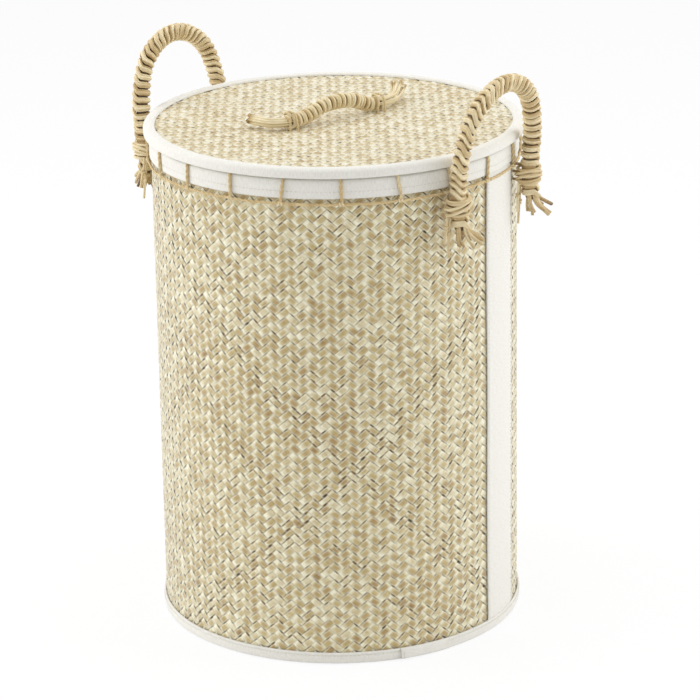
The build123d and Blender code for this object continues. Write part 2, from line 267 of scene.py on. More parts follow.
def blend_colour(tree, amount, first, second, how="MIX"):
    """Two colours mixed by an amount."""
    mix = put(tree, "Mix", data_type="RGBA", blend_type=how)
    for socket, value in (("Factor_Float", amount), ("A_Color", first), ("B_Color", second)):
        feed(tree, next(entry for entry in mix.inputs if entry.identifier == socket), value)
    return next(entry for entry in mix.outputs if entry.identifier == "Result_Color")


def new_material(name, roughness, specular):
    """A material with its tree, its shader and the piece's surface coordinates."""
    material = bpy.data.materials.new(name)
    material.use_nodes = True
    tree = material.node_tree
    shader = tree.nodes["Principled BSDF"]
    shader.inputs["Roughness"].default_value = roughness
    shader.inputs["Specular IOR Level"].default_value = specular
    surface = put(tree, "UVMap", uv_map="Surface")
    place = put(tree, "SeparateXYZ", {"Vector": surface.outputs["UV"]})
    return material, tree, shader, place.outputs["X"], place.outputs["Y"]


print("materials so far", len(bpy.data.materials))

# %% Plant fibre group
fibre_group, fibre_in, fibre_out = new_group(
    "Plant fibre", ("Along", "Across", "Length", "Fineness"), ("Streak", "Patch")
)
stretched = put(
    fibre_group,
    "CombineXYZ",
    {
        "X": reckon(fibre_group, "MULTIPLY", fibre_in.outputs["Along"], fibre_in.outputs["Length"]),
        "Y": reckon(fibre_group, "MULTIPLY", fibre_in.outputs["Across"], fibre_in.outputs["Fineness"]),
    },
)
strip_tone = put(fibre_group, "Attribute", attribute_name="tone")
drift = reckon(fibre_group, "MULTIPLY", strip_tone.outputs["Fac"], 37.0)  # no two strips share their streaks
for name, detail, scale in (("Streak", 4.0, 1.0), ("Patch", 2.0, 0.22)):
    noise = put(
        fibre_group,
        "TexNoise",
        {"Vector": stretched.outputs["Vector"], "W": drift, "Scale": scale, "Detail": detail},
        noise_dimensions="4D",
    )
    fibre_group.links.new(noise.outputs["Fac"], fibre_out.inputs[name])
print(fibre_group.name, "group of", len(fibre_group.nodes), "nodes")

# %% Plant fibre finishes
streak_shade = (0.64, 0.54, 0.40, 1)


def plant_finish(name, colours, length, fineness, edge, bump, gloss=0.3, streaks=0.85, sheen=0.0):
    """Dried plant fibre: a tone for each strip or strand, streaks along it, a painted highlight on its edges
    and a deep colour for painted shade in gaps.
    """
    material, tree, shader, along, across = new_material(name, 0.8 - 0.6 * gloss, gloss)
    shader.inputs["Sheen Weight"].default_value = sheen
    pale, middle, brown, deep = ((*colour, 1) for colour in colours)
    sockets = {"Along": along, "Across": across, "Length": length, "Fineness": fineness}
    fibre = put(tree, "Group", sockets, node_tree=fibre_group)
    tone = put(tree, "Attribute", attribute_name="tone").outputs["Fac"]
    patch = put(tree, "MapRange", {"Value": fibre.outputs["Patch"], "To Min": -0.3, "To Max": 0.3})
    ramp = put(tree, "ValToRGB", {"Fac": reckon(tree, "ADD", tone, patch.outputs["Result"])})
    ramp.color_ramp.elements[0].color = pale
    ramp.color_ramp.elements[0].position = 0.1
    ramp.color_ramp.elements[1].color = deep
    for position, colour in ((0.5, middle), (0.85, brown)):
        ramp.color_ramp.elements.new(position).color = colour
    streak_range = {"From Min": 0.38, "From Max": 0.68, "To Max": streaks}
    streak = put(tree, "MapRange", {"Value": fibre.outputs["Streak"], **streak_range}).outputs["Result"]
    streaked = blend_colour(tree, streak, ramp.outputs["Color"], streak_shade, "MULTIPLY")
    # Rims across a strip are mixed towards pale by edge: a painted highlight on the rounded edges.
    from_middle = reckon(tree, "ABSOLUTE", reckon(tree, "SUBTRACT", across, 0.5))
    edges = put(tree, "MapRange", {"Value": from_middle, "From Min": 0.3, "From Max": 0.5, "To Max": edge})
    tree.links.new(blend_colour(tree, edges.outputs["Result"], streaked, pale), shader.inputs["Base Color"])
    grain = put(tree, "Bump", {"Height": fibre.outputs["Streak"], "Strength": bump, "Distance": 0.0006})
    tree.links.new(grain.outputs["Normal"], shader.inputs["Normal"])
    return material


# %% [markdown]
# ## Plant colours
# Each plant colour runs from pale through middle and brown to the deep shade of the gaps. Length and
# fineness scale the streaks, and edge says how strongly a painted highlight pales the rims of a strip.

# %% Plant colours
seagrass = plant_finish(
    "Seagrass plait",
    [(0.97, 0.955, 0.76), (0.575, 0.46, 0.205), (0.40, 0.26, 0.09), (0.12, 0.08, 0.03)],
    length=130, fineness=7, edge=0.7, bump=0.4, gloss=0.55, streaks=0.6, sheen=0.7,
)
# The lid's mat is the wall's seagrass painted lighter, with paler gaps: a painted lighter top where the light
# falls from above.
lid_seagrass_painted_lighter = plant_finish(
    "Lid plait",
    [(0.95, 0.94, 0.83), (0.69, 0.60, 0.37), (0.52, 0.39, 0.19), (0.34, 0.25, 0.11)],
    length=130, fineness=7, edge=0.4, bump=0.4, gloss=0.4,
)
rope_fibre = plant_finish(
    "Rope fibre",
    [(0.92, 0.82, 0.56), (0.71, 0.56, 0.31), (0.43, 0.29, 0.12), (0.08, 0.045, 0.015)],
    length=60, fineness=9, edge=0.1, bump=0.6, gloss=0.45,
)
twine_fibre = plant_finish(
    "Twine",
    [(0.93, 0.83, 0.58), (0.78, 0.63, 0.36), (0.48, 0.33, 0.14), (0.10, 0.06, 0.02)],
    length=90, fineness=6, edge=0.1, bump=0.5,
)
lid_rope_fibre = plant_finish(
    "Lid rope fibre",
    [(0.94, 0.86, 0.62), (0.80, 0.67, 0.40), (0.48, 0.33, 0.14), (0.12, 0.07, 0.02)],
    length=60, fineness=9, edge=0.1, bump=0.6,
)
cane = plant_finish(
    "Cane",
    [(0.62, 0.47, 0.25), (0.50, 0.35, 0.16), (0.33, 0.21, 0.09), (0.15, 0.09, 0.03)],
    length=20, fineness=5, edge=0.1, bump=0.2,
)
print("plant finishes", seagrass.name, rope_fibre.name, twine_fibre.name, cane.name)

# %% Canvas finish
cloth_group, cloth_in, cloth_out = new_group(
    "Canvas cloth", ("Along", "Across", "Thread"), ("Height", "Slub")
)
waves = []
for socket in ("Along", "Across"):
    place = reckon(cloth_group, "DIVIDE", cloth_in.outputs[socket], cloth_in.outputs["Thread"])
    waves.append(reckon(cloth_group, "SINE", reckon(cloth_group, "MULTIPLY", place, 2 * pi)))
cloth_group.links.new(reckon(cloth_group, "MULTIPLY", waves[0], waves[1]), cloth_out.inputs["Height"])
lines = put(
    cloth_group,
    "CombineXYZ",
    {
        "X": reckon(cloth_group, "MULTIPLY", cloth_in.outputs["Along"], 900.0),
        "Y": reckon(cloth_group, "MULTIPLY", cloth_in.outputs["Across"], 200.0),
    },
)
slub = put(cloth_group, "TexNoise", {"Vector": lines.outputs["Vector"], "Scale": 1.0, "Detail": 3.0})
cloth_group.links.new(slub.outputs["Fac"], cloth_out.inputs["Slub"])


def canvas_finish(name, colour, darker):
    """Plain cotton canvas with a fine thread grid and uneven yarn."""
    material, tree, shader, along, across = new_material(name, 0.85, 0.2)
    shader.inputs["Sheen Weight"].default_value = 0.15
    sockets = {"Along": along, "Across": across, "Thread": 0.0011}
    cloth = put(tree, "Group", sockets, node_tree=cloth_group)
    uneven = put(tree, "MapRange", {"Value": cloth.outputs["Slub"], "From Min": 0.35, "From Max": 0.7})
    tree.links.new(blend_colour(tree, uneven.outputs["Result"], colour, darker), shader.inputs["Base Color"])
    yarn = reckon(tree, "ADD", cloth.outputs["Slub"], reckon(tree, "MULTIPLY", cloth.outputs["Height"], 0.2))
    weave = put(tree, "Bump", {"Height": yarn, "Strength": 0.22, "Distance": 0.0003})
    tree.links.new(weave.outputs["Normal"], shader.inputs["Normal"])
    return material


canvas = canvas_finish("Canvas", (0.83, 0.82, 0.77, 1), (0.75, 0.73, 0.67, 1))
thread = canvas_finish("Sewing thread", (0.72, 0.69, 0.61, 1), (0.62, 0.58, 0.49, 1))
print("cloth finishes", canvas.name, thread.name)

# %% [markdown]
# ## Plaited mats
# The wall is plaited on the bias from flat seagrass: every strip passes over two and under two, and the
# floats of each direction stand in upright columns. A bump map could draw that, but real strips catch the
# light on their rounded tops and leave true gaps. Each strip is a narrow ribbon that rises and dips as it
# crosses the others, laid out flat in cell steps and then rolled round the drum. The mats are doubled, so
# the wall, the lid and the base have a second layer whose good side looks the other way.

# %% Plait
strip_count = 120  # strips in each direction round the drum
wall_middle = drum_radius - mat_thickness / 2
cell = 2 * pi * wall_middle / (2 * strip_count)  # half the diagonal of one crossing
strip_half = cell / sqrt(2)  # strips that just touch
domed_ribbon = np.array([-1.0, -0.7, 0.7, 1.0])  # points across a strip, in half widths
flat_ribbon = np.array([-1.0, 1.0])
rim_sink = 0.0006  # how far a domed strip's edges lie below its top
float_places = np.array([-0.85, -0.32, 0.32, 0.85])  # points of a float, from its middle (0) to its ends (1)
float_rise = np.array([0.4, 1.0, 1.0, 0.4])


def plait(strips, place, rise, fill, shaded_under_tone, seed, facing=1, ribbon=domed_ribbon):
    """Ribbons (rising or not, its index, first and last crossing), each placed by place(u, v, lift)."""
    shapes = []
    chance = np.random.default_rng(seed)
    for rising, index, first, last in strips:
        floats = np.arange(floor((first + index - 0.5) / 2), ceil((last + index - 0.5) / 2) + 1)
        column = (2 * floats[:, None] + 0.5 + float_places[None]).ravel()
        inside = (column - index >= first) & (column - index <= last)
        if inside.sum() < 4:
            continue
        column = column[inside]
        along = column - index
        side = 1 if rising else -1
        shows = (floats % 2 == 0) == rising
        middle_u = (2 * floats + 0.5) * cell
        middle_v = side * (2 * floats + 0.5 - 2 * index) * cell
        weathered = np.clip(np.sin(17 * middle_u + 2.4) * np.sin(15 * middle_v + 0.6), 0, 1)
        brown = chance.random(len(floats)) < 0.04 + 0.16 * weathered
        plain = chance.uniform(0.36, 0.72, len(floats)) + 0.08 * weathered
        tones = np.where(brown, chance.uniform(0.66, 0.88, len(floats)), plain)
        # Paler float ends are a painted highlight: the bend where a strip dives under catches the light, more
        # at one end.
        end_highlight_place = float_places[None] - 0.14 + chance.uniform(-0.26, 0.26, len(floats))[:, None]
        ends = np.clip(np.abs(end_highlight_place) - 0.42, 0, 0.48)
        # Parts of a strip that run under others take the shaded under tone: painted shade in the gaps between
        # strips.
        tone = np.where(shows[:, None], tones[:, None] * (1 - 2.0 * ends), shaded_under_tone).ravel()[inside]
        heights = np.where(shows, 1, -1) * chance.uniform(0.8, 1.15, len(floats))
        lift = rise * (heights[:, None] * float_rise[None]).ravel()[inside]
        narrow = 0.76 if chance.random() < 0.1 else 1.0
        half = strip_half * narrow * fill * chance.uniform(0.95, 1.05)
        tilt = 0.12 * strip_half * side * np.sin(pi / 2 * (column - 0.5))
        sway = tilt + 0.05 * cell * np.sin(along * chance.uniform(0.3, 0.7) + chance.uniform(0, 6))
        across = ribbon[None] * half + sway[:, None]
        u = column[:, None] * cell + across / sqrt(2)
        v = side * (along - index)[:, None] * cell - side * across / sqrt(2)
        dome = np.where((np.abs(ribbon) == 1) & (len(ribbon) > 2), -rim_sink, 0.0)
        vertices = place(u, v, lift[:, None] + dome[None])
        run = np.broadcast_to((along * cell * sqrt(2))[:, None] + index * 0.37, across.shape)
        share = np.broadcast_to((ribbon[None] + 1) / 2, across.shape)
        quads = grid_quads(len(along), len(ribbon))
        shapes.append(
            (
                vertices.reshape(-1, 3),
                quads if side == facing else quads[:, ::-1],
                np.stack([run, share], axis=-1).reshape(-1, 2),
                np.repeat(tone, len(ribbon)),
            )
        )
    return join_shapes(shapes)


print("strips each way", strip_count, "half width", round(strip_half, 5))

# %% Wall
inner_skin = 0.0007  # from the mat's inner face to the middle of its inner layer
raw_edge = 0.003  # the strips end this far inside the bindings


def on_drum(u, v, lift):
    """A flat place on the mat, rolled round the drum."""
    return round_axis(wall_middle + lift, u / wall_middle, v)


def in_drum(u, v, lift):
    """A flat place on the mat's inner layer, which faces the middle of the drum."""
    return round_axis(drum_radius - mat_thickness + inner_skin - lift, u / wall_middle, v)


low_cell = (base_mat_low.z + raw_edge) / cell
high_cell = (wall_high.z - raw_edge) / cell
for rising, way, seed in ((True, "rising", 11), (False, "falling", 12)):
    wall_strips = [
        (rising, index, low_cell + index, high_cell + index)
        if rising
        else (rising, index, index - high_cell, index - low_cell)
        for index in range(strip_count)
    ]
    # Tones 1.3 and 0.9 below colour the parts under other strips: painted shade in the gaps.
    outer = plait(wall_strips, on_drum, 0.0011, 0.93, 1.3, seed)
    make_piece("wall_plait_" + way, outer, seagrass, "basket", ["wall_mat"])
    inner = plait(wall_strips, in_drum, 0.0007, 1.0, 0.9, seed + 2, -1, flat_ribbon)
    make_piece("inner_plait_" + way, inner, seagrass, "basket", ["wall_mat"])

# %% Lid and base
def disc_strips(radius):
    """Strips of a round mat, each as long as the circle allows."""
    reach = radius / (cell * sqrt(2))
    strips = []
    for index in range(-floor(reach), floor(reach) + 1):
        half = sqrt(max(reach**2 - index**2, 0))
        strips += [(True, index, -half, half), (False, index, -half, half)]
    return strips


def on_disc(level, turn, facing=1):
    """A flat mat at a level, turned in its plane, with its good side up or down."""

    def place(u, v, lift):
        x, y = u * cos(turn) - v * sin(turn), u * sin(turn) + v * cos(turn)
        return np.stack([x, y, np.broadcast_to(level + facing * lift, u.shape)], axis=-1)

    return place


def doubled_mat(radius, low, high, skin, turn, shaded_under_tone, seed):
    """Two plaited layers, the upper one facing up and the lower one facing down."""
    strips = disc_strips(radius)
    return [
        plait(strips, on_disc(level, turn, facing), flat_rise, 1.0, shaded_under_tone, seed + number, facing)
        for number, (level, facing) in enumerate(((high - skin, 1), (low + skin, -1)))
    ]


def flat_disc(radius, level):
    """A round sheet inside a doubled mat, seen only through its gaps."""
    angle = np.linspace(0, 2 * pi, 73)
    reach = np.array([0.001, radius / 2, radius])
    vertices = round_axis(reach[:, None], angle, level).reshape(-1, 3)
    return vertices, grid_quads(3, 73), vertices[:, :2], np.full(len(vertices), 0.7)


view_side = radians(35.5)  # the photograph looks from this far round from the -Y side
lid_turn = view_side + pi / 2
flat_rise = 0.0007
# Tones 0.85 and 0.9 below colour the lid's and the base's parts under other strips: painted shade in the
# gaps.
lid_reach = lid_mat_high.x - 0.003
lid_layers = doubled_mat(lid_reach, lid_mat_low.z, lid_mat_high.z, 0.0016, lid_turn, 0.85, 21)
lid_layers.append(flat_disc(lid_reach, (lid_mat_low.z + lid_mat_high.z) / 2))
make_piece("lid_plait", join_shapes(lid_layers), lid_seagrass_painted_lighter, "lid", ["lid_mat"])
base_reach = base_mat_high.x - 0.002
base_layers = doubled_mat(base_reach, base_mat_low.z, base_mat_high.z, 0.0014, 0.0, 0.9, 31)
make_piece("base_plait", join_shapes(base_layers), seagrass, "basket", ["base_mat"])

# %% [markdown]
# ## Canvas bindings
# Each raw edge of the mats is folded into canvas tape. A plain ring would look moulded, so the profile is
# a soft fold, turned round the axis with a slight waver, and drawn in a little where the lacing pulls.
# A subdivision modifier rounds the folds.

# %% Binding rings
ring_steps = 252
lace_count = 21
lace_phase = radians(-1.3)


def waver(angle, seed, size):
    """A slow uneven wave round a ring."""
    chance = np.random.default_rng(seed)
    waves = sum(np.sin(count * angle + chance.uniform(0, 6)) / count**0.5 for count in (5, 9, 17, 31))
    return size * waves / 1.6


def lace_pull(angle):
    """1 at each lacing stitch, falling to 0 between them."""
    step = 2 * pi / lace_count
    away = (angle - lace_phase + step / 2) % step - step / 2
    return np.exp(-((away / 0.035) ** 2))


def cloth_shape(vertices, uv):
    """A grid of points as a shape of one even tone."""
    rows, columns = vertices.shape[:2]
    return vertices.reshape(-1, 3), grid_quads(rows, columns), uv.reshape(-1, 2), np.full(rows * columns, 0.5)


def binding(name, profile, body, nodes, seed, pull=0.0):
    """A folded tape round the axis, from the (radius, height) points of its fold."""
    angle = np.linspace(0, 2 * pi, ring_steps + 1)
    fold = np.array(profile)
    radius = fold[None, :, 0] + waver(angle, seed, 0.00022)[:, None] - pull * lace_pull(angle)[:, None]
    height = fold[None, :, 1] + waver(angle, seed + 1, 0.00012)[:, None] * (fold[None, :, 1] > 0.001)
    vertices = round_axis(radius, angle[:, None], height)
    width = run_of(fold)
    uv = np.stack(np.broadcast_arrays((angle * fold[:, 0].max())[:, None], width[None]), axis=-1)
    piece = make_piece(name, cloth_shape(vertices, uv), canvas, body, nodes)
    rounding = piece.modifiers.new("Soft fold", "SUBSURF")
    rounding.levels = rounding.render_levels = 1


print("lacing places", lace_count, "ring steps", ring_steps)

# %% Rim, base and lid bindings
rim_out = rim_high.x
rim_in = drum_radius - mat_thickness - 0.0013
tape = tape_thickness
binding(
    "rim_canvas",
    [
        (rim_out - tape, rim_low.z + 0.0008),
        (rim_out - 0.0003, rim_low.z),
        (rim_out, rim_low.z + 0.002),
        (rim_out, (rim_low.z + rim_high.z) / 2),
        (rim_out, rim_high.z - 0.003),
        (rim_out - 0.0007, rim_high.z - 0.0006),
        (rim_out - 0.003, rim_high.z),
        (rim_in + 0.003, rim_high.z),
        (rim_in + 0.0007, rim_high.z - 0.0006),
        (rim_in, rim_high.z - 0.003),
        (rim_in, rim_low.z + 0.002),
        (rim_in + 0.0003, rim_low.z),
        (rim_in + tape, rim_low.z + 0.0008),
    ],
    "basket",
    ["rim_binding"],
    41,
    pull=0.0003,
)
base_out = drum_radius + 0.0013
base_in = drum_radius - 0.015
binding(
    "base_canvas",
    [
        (base_out - tape - 0.0008, base_high.z - 0.0004),
        (base_out - 0.0002, base_high.z),
        (base_out + 0.0002, base_high.z - 0.0016),
        (base_out - 0.0004, base_high.z - 0.0030),
        (base_out + 0.0002, base_high.z - 0.0044),
        (base_out + 0.0003, base_high.z / 2),
        (base_out, 0.0022),
        (base_out - 0.0006, 0.0006),
        (base_out - 0.0022, 0.0),
        (base_in + 0.003, 0.0),
        (base_in, 0.0),
        (base_in, tape),
    ],
    "basket",
    ["base_binding"],
    43,
)
lid_out = lid_high.x
lid_tape_in = lid_out - 0.012
lid_lip = 0.0014  # the fold hangs a little over the lacing
binding(
    "lid_canvas",
    [
        (lid_tape_in, lid_mat_high.z - 0.001),
        (lid_tape_in + 0.0004, lid_high.z - 0.0002),
        (lid_tape_in + 0.002, lid_high.z + 0.0003),
        (lid_out - 0.0055, lid_high.z + 0.0006),
        (lid_out - 0.0015, lid_high.z - 0.0006),
        (lid_out, lid_high.z - 0.0036),
        (lid_out, lid_low.z + 0.002),
        (lid_out - 0.0002, lid_low.z - lid_lip),
        (lid_out - 0.0016, lid_low.z - lid_lip),
        (lid_out - 0.0022, lid_low.z),
        (lid_tape_in + 0.002, lid_low.z),
        (lid_tape_in, lid_low.z + 0.0006),
        (lid_tape_in, lid_mat_low.z + 0.001),
    ],
    "lid",
    ["lid_binding"],
    45,
)

# %% [markdown]
# ## Flat tapes
# A canvas tape covers the wall's joint outside, a narrower one backs it inside, and the loose end of the
# base binding laps over its beginning. All three are the same kind of piece: a strip bent to the drum
# with its edges turned down to the mat.

# %% Curved tapes
def curved_tape(name, ends, levels, faces, nodes, seed, sinks=0.0, hollow=0.0):
    """A strip of tape on the drum. Its face may sink towards its far end, its near end roll over a hollow."""
    first, last = ends
    low, high = levels
    under, over = faces
    turns = np.concatenate([[0, 0.012, 0.03], np.linspace(0.1, 0.9, 9), [0.97, 0.988, 1]])
    rises = np.linspace(0, 1, max(int((high - low) / 0.006), 8))
    angle = first + (last - first) * turns
    rim_near = np.minimum(turns, 1 - turns)
    end_near = np.minimum(rises, 1 - rises) * (high - low)
    side_fold = np.interp(rim_near, [0, 0.012, 0.03], [0, 0.8, 1])
    end_fold = np.interp(end_near, [0, 0.0012], [0, 1])
    fold = side_fold[None] * end_fold[:, None]
    chance = np.random.default_rng(seed)
    level = low + (high - low) * rises
    pucker = 0.00016 * np.sin(level[:, None] * 420 + chance.uniform(0, 6))
    pucker = pucker * np.interp(rim_near, [0, 0.1], [1, 0.2])
    sunk = (over - under) * sinks * turns[None]
    radius = under + (over - under) * fold - sunk * fold + pucker * fold
    drift = 0.0006 * np.sin(level * 23 + chance.uniform(0, 6)) / drum_radius
    turned = angle[None] + drift[:, None]
    turned[:, 0] += hollow / drum_radius
    vertices = round_axis(radius, turned, level[:, None])
    uv = np.stack(np.broadcast_arrays(level[:, None], angle[None] * drum_radius), axis=-1)
    make_piece(name, cloth_shape(vertices, uv), canvas, "basket", nodes)


bite = 0.0008  # the tapes' edges press this far into the mat
tape_face = drum_radius + 0.0013
seam_ends = seam_first, seam_last = asin(tape_low.y / tape_face), asin(tape_high.y / tape_face)
seam_levels = base_high.z - 0.002, rim_low.z + 0.001
seam_faces = drum_radius - bite, tape_face
curved_tape("seam_canvas", seam_ends, seam_levels, seam_faces, ["wall_seam_tape"], 51, hollow=0.0015)
inner_face = drum_radius - mat_thickness
backing_ends = asin(backing_low.y / inner_face), asin(backing_high.y / inner_face)
backing_levels = backing_low.z, backing_high.z
backing_faces = inner_face + bite, inner_face - 0.0013
curved_tape("seam_backing_canvas", backing_ends, backing_levels, backing_faces, ["wall_seam_backing"], 52)
lap_first = radians(-36.5)
lap_ends = lap_first, lap_first + 0.058 / drum_radius
lap_face = base_out + 3 * tape  # its end is folded under
lap_faces = base_out - 0.0006, lap_face
curved_tape("base_lap_canvas", lap_ends, (0.0004, base_high.z), lap_faces, [], 53, sinks=0.9, hollow=0.004)

# %% [markdown]
# ## Sewing
# Machine stitches hold every tape. They are too small for the solids, but they are what makes canvas look
# sewn. Each stitch is a short bowed strand that dips into the cloth at both ends.

# %% Machine stitches
stitch_pitch = 0.0042


def stitch_row(centres, ahead, out):
    """Small bowed strands, one at each place."""
    half = 0.33 * stitch_pitch
    dip, bow = 0.0002, 0.00018
    thickness = np.array([0.00016, 0.00030, 0.00016])
    shapes = []
    for centre, way, up in zip(centres, ahead, out):
        line = [centre - way * half - up * dip, centre + up * bow, centre + way * half - up * dip]
        shapes.append(tube(np.array(line), thickness, 4))
    return shapes


def ring_row(radius, height, out_up):
    """Stitches round the axis on a face that looks outward, or up or down."""
    count = int(2 * pi * radius / stitch_pitch)
    angle = np.linspace(0, 2 * pi, count, endpoint=False)
    out = np.tile([0.0, 0.0, float(out_up)], (count, 1)) if out_up else round_axis(1.0, angle, 0.0)
    return stitch_row(round_axis(radius, angle, height), round_axis(1.0, angle + pi / 2, 0.0), out)


def upright_row(angle, radius, low, high):
    """Stitches up the wall at one angle."""
    level = np.arange(low, high, stitch_pitch)
    upward = np.tile([0.0, 0.0, 1.0], (len(level), 1))
    outward = np.tile(round_axis(1.0, angle, 0.0), (len(level), 1))
    return stitch_row(round_axis(radius, angle, level), upward, outward)


hem = 0.0032  # from a tape's edge to its row of stitches
edge = hem / drum_radius
basket_rows = ring_row(rim_out, rim_low.z + 2.4 * hem, 0) + ring_row(base_out, base_high.z - hem, 0)
for angle in (seam_first + edge, seam_last - edge):
    basket_rows += upright_row(angle, tape_face, base_high.z + hem, run_low.z - hem)
basket_rows += upright_row(lap_first + edge, lap_face, hem, base_high.z - 0.001)
make_piece("basket_stitches", join_shapes(basket_rows), thread, "basket")
lid_rows = ring_row(lid_tape_in + hem, lid_high.z, 1) + ring_row(lid_tape_in + hem, lid_low.z, -1)
make_piece("lid_stitches", join_shapes(lid_rows), thread, "lid")

# %% [markdown]
# ## Rim lacing
# Twine runs round the wall under the canvas, and at even steps it is carried up over the rim and down
# inside. Two laid plies show the twist, and a hitch holds each upright to the run.

# %% Lacing
twine_radius = (run_high.z - run_low.z) / 2
run_radius = run_high.x - twine_radius
run_level = (run_low.z + run_high.z) / 2
around = np.linspace(0, 2 * pi, 640)
sag = waver(around, 61, 0.0006) - 0.0005 * (1 - lace_pull(around))
run_line = round_axis(run_radius, around, run_level + sag)
twine_lay = 0.012  # length of one twist of the plies
run_shape = join_shapes(twisted(run_line, 1.1 * twine_radius, twine_lay))
make_piece("lacing_run", run_shape, twine_fibre, "basket", ["rim_lacing_run"])

lace_out = rim_out + twine_radius
lace_in = rim_in - twine_radius
lace_top = stitch_high.z - twine_radius
chance = np.random.default_rng(71)
lace_shapes = []
for stitch in range(lace_count):
    angle = lace_phase + stitch * 2 * pi / lace_count
    lean = chance.uniform(-0.018, 0.018)
    route = [
        (run_radius + 0.0006, run_level - 0.002, lean),
        (lace_out, run_level + 0.006, lean),
        (lace_out, rim_high.z - 0.004, 0.0),
        (lace_out - 0.0006, lace_top, 0.0),
        (lace_in + 0.0006, lace_top, 0.0),
        (lace_in, rim_high.z - 0.004, 0.0),
        (lace_in, stitch_low.z + 0.001, -lean),
    ]
    places = [round_axis(radius, angle + turn, level) for radius, level, turn in route]
    line = spaced(smooth_line(places), 60)
    lace_shapes += twisted(line, 1.15 * twine_radius, twine_lay, tone=chance.uniform(0.3, 0.6))
    hitch_ends = angle + lean + np.array([-1, 1]) * 0.0022 / run_radius
    hitch_core = round_axis(run_radius, hitch_ends, run_level)
    lace_shapes.append(tube(wind(hitch_core, twine_radius + 0.0004, 1.6, 0.4, 14), 0.0009, 5, 0.2))
uprights = join_shapes(lace_shapes)
make_piece("lacing_uprights", uprights, twine_fibre, "basket", ["rim_lacing_stitches"])

# %% [markdown]
# ## Side handles
# Each handle is a rope arch, wound with straws so tightly that only the turns show, with a ridge of half
# hitches that creeps round the rope. A plain spiral would look like a spring, so each turn lies square to
# the rope and steps on to the next only along that ridge. The piece is fixed where it stands and rides on no
# body.

# %% Handle ropes
rope_radius = 0.0092
leg_out = 0.065
handle_lean = radians(7.5)
arch_route = [
    (-leg_out, -0.017),
    (-leg_out, 0.004),
    (-0.0655, 0.026),
    (-0.0496, 0.0716),
    (0.0, 0.0921),
    (0.0496, 0.0716),
    (0.0655, 0.026),
    (leg_out, 0.004),
    (leg_out, -0.017),
]
turn_pitch = 0.0076
rope_straw = 0.0016
rib_straws = ((-1.0, 0.45), (0.05, 0.0), (1.0, 0.55))  # place along the rope and depth, in straw radii


def whipping(line, pitch, outside, straw, ridge, creep, seed):
    """Straws wound round a line in hitched turns: each steps on to the next along a raised ridge."""
    length = run_of(line)[-1]
    turns = max(int(length / pitch), 1)
    pitch = length / turns
    core = spaced(line, turns * 12)
    side, over = cross_axes(core)
    run = np.linspace(0, length, len(core))
    turned = np.linspace(0, turns, turns * 22 + 1)
    whole = np.floor(turned)
    part = turned - whole
    step = np.clip((part - 0.68) / 0.28, 0, 1)  # a straw steps on in the last third of its turn
    step = step * step * (3 - 2 * step)
    bent = step - 0.16 * np.sin(2 * pi * step)
    lift = 1.1 * straw * np.sin(pi * np.clip((part - 0.64) / 0.36, 0, 1)) ** 2
    angle = ridge - 2 * pi * (turned - 0.82) + creep * turned / turns
    chance = np.random.default_rng(seed)
    uneven = chance.uniform(-0.25, 0.25, turns + 2)[whole.astype(int)] * straw
    bulge = uneven * (1 - step) ** 2 * np.sin(pi * part) ** 2
    # The core under the turns takes tone 1.2, the deepest colour: painted shade in the grooves between turns.
    shapes = [tube(core, outside - 1.9 * straw, 10, 1.2)]
    for place, depth in rib_straws:
        loose = 0.12 * straw * np.sin(turned * chance.uniform(3, 5) + chance.uniform(0, 6))
        at = (whole + bent + 0.1) * pitch + place * straw + loose
        reach = outside - straw + lift - depth * straw + 0.5 * loose + bulge
        centre, across, above = (along_line(at, run, field) for field in (core, side, over))
        wound = centre + reach[:, None] * (np.cos(angle)[:, None] * across + np.sin(angle)[:, None] * above)
        # Outer straws of a rib are darker and the middle one paler: painted shade and painted highlight of a
        # rounded rib.
        painted_rib_shading = 0.2 if depth > 0 else -0.08
        tone = 0.28 + painted_rib_shading + 0.28 * np.sin(turned * chance.uniform(1, 3) + chance.uniform(0, 6))
        shapes.append(tube(wound, straw, 6, tone))
    return shapes


def handle_rope(side, out, ridge, creep, seed):
    """One wound handle, from lashing to lashing."""
    route = []
    for across, up in arch_route:
        reach = hinge_reach + max(up, 0) * sin(handle_lean)
        route.append((out * reach, out * across, hinge_height + up * cos(handle_lean)))
    shapes = whipping(smooth_line(route), turn_pitch, rope_radius, rope_straw, ridge, creep, seed)
    nodes = [side + "_handle_core", side + "_handle_wrap"]
    piece = make_piece(side + "_handle_rope", join_shapes(shapes), rope_fibre, None, nodes)
    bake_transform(piece)


handle_rope("right", 1, -2.58, 0.3, 81)
handle_rope("left", -1, -2.46, 3.4, 82)

# %% [markdown]
# ## Feet of the handles
# A cord lashes each rope end to the wall, and below it the cut ends of the rope hang open like a small
# broom. The lashing is one cord of a few turns that comes from the wall and goes back to it. The ends
# are separate strands of different lengths.

